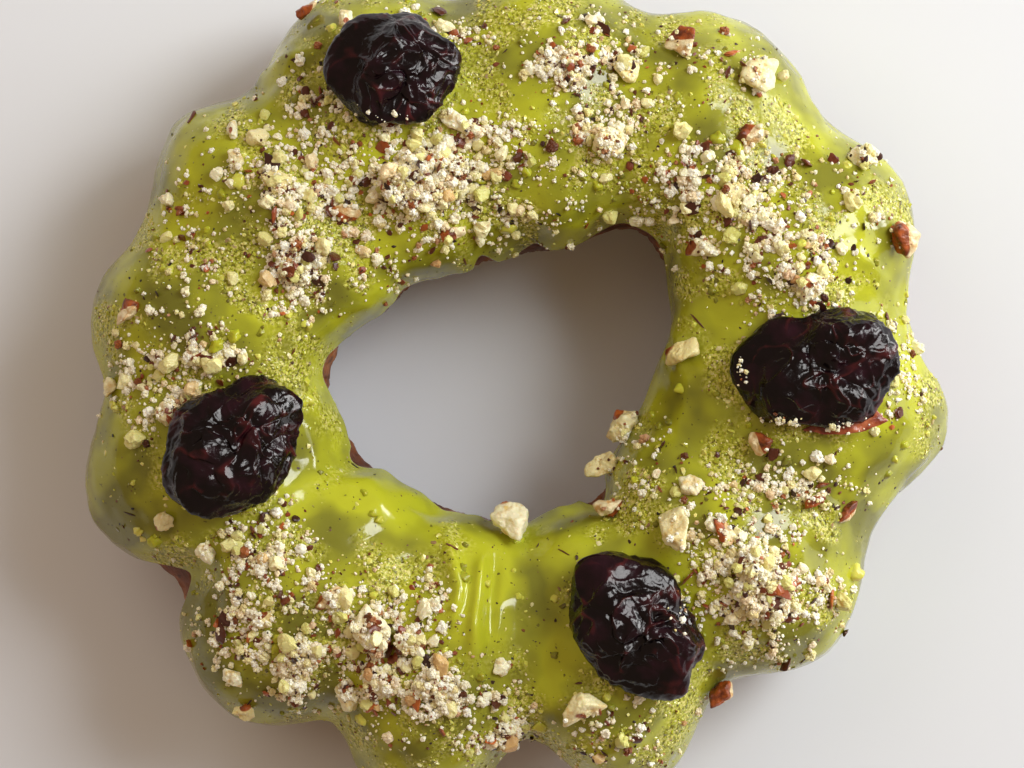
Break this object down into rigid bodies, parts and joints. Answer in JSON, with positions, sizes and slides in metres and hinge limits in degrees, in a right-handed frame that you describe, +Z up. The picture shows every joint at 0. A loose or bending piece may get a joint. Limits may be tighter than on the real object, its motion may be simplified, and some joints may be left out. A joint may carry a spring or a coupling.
{
  "type": "ring doughnut",
  "caption": "Lumpy pulled-dough ring doughnut with a thick glossy green matcha glaze, dried cranberries and chopped nuts scattered over the top.",
  "frame": {"origin": "on the resting plane, under the middle of the doughnut's outline", "axes": "+X across the doughnut's longest width, +Y across it in the resting plane, +Z up out of the glazed face"},
  "size_m": [0.0902, 0.0872, 0.0318],
  "materials": {
    "dough": "fried dough, matt brown crust with a slight oil sheen and open crumb where it is torn",
    "glaze": "thick wet-looking matcha white-chocolate glaze, very glossy yellow green",
    "cranberry": "dried cranberry, almost black purple, glossy and wrinkled, red where it is thin",
    "nut_kernel": "chopped blanched nut, cream, matt",
    "nut_skin": "chopped nut with its brown skin left on, matt",
    "nut_meal": "fine nut meal, pinkish cream, matt and crumbly"
  },
  "bodies": {
    "root": {"dough_ring": "dough", "matcha_glaze": "glaze", "cranberry_top": "cranberry", "cranberry_left": "cranberry", "cranberry_right": "cranberry", "cranberry_bottom": "cranberry", "nut_meal_heap_1": "nut_meal", "nut_meal_heap_2": "nut_meal", "nut_meal_heap_3": "nut_meal", "nut_meal_heap_4": "nut_meal", "nut_meal_heap_5": "nut_meal", "nut_meal_heap_6": "nut_meal", "nut_meal_heap_7": "nut_meal", "nut_skin_01": "nut_skin", "nut_kernel_02": "nut_kernel", "nut_kernel_03": "nut_kernel", "nut_kernel_04": "nut_kernel", "nut_kernel_05": "nut_kernel", "nut_kernel_06": "nut_kernel", "nut_kernel_07": "nut_kernel", "nut_skin_08": "nut_skin", "nut_skin_09": "nut_skin", "nut_skin_10": "nut_skin", "nut_kernel_11": "nut_kernel", "nut_kernel_12": "nut_kernel", "nut_kernel_13": "nut_kernel", "nut_kernel_14": "nut_kernel", "nut_kernel_15": "nut_kernel", "nut_kernel_16": "nut_kernel", "nut_kernel_17": "nut_kernel", "nut_skin_18": "nut_skin", "nut_kernel_19": "nut_kernel", "nut_kernel_20": "nut_kernel", "nut_kernel_21": "nut_kernel", "nut_kernel_22": "nut_kernel", "nut_kernel_23": "nut_kernel", "nut_kernel_24": "nut_kernel", "nut_skin_25": "nut_skin", "nut_kernel_26": "nut_kernel", "nut_kernel_27": "nut_kernel", "nut_skin_28": "nut_skin", "nut_kernel_29": "nut_kernel", "nut_kernel_30": "nut_kernel", "nut_skin_31": "nut_skin", "nut_kernel_32": "nut_kernel", "nut_skin_33": "nut_skin", "nut_skin_34": "nut_skin", "nut_skin_35": "nut_skin", "nut_kernel_36": "nut_kernel", "nut_skin_37": "nut_skin", "nut_kernel_38": "nut_kernel", "nut_kernel_39": "nut_kernel", "nut_kernel_40": "nut_kernel", "nut_skin_41": "nut_skin", "nut_kernel_42": "nut_kernel", "nut_kernel_43": "nut_kernel", "nut_kernel_44": "nut_kernel", "nut_skin_45": "nut_skin", "nut_kernel_46": "nut_kernel"}
  },
  "joints": []
}
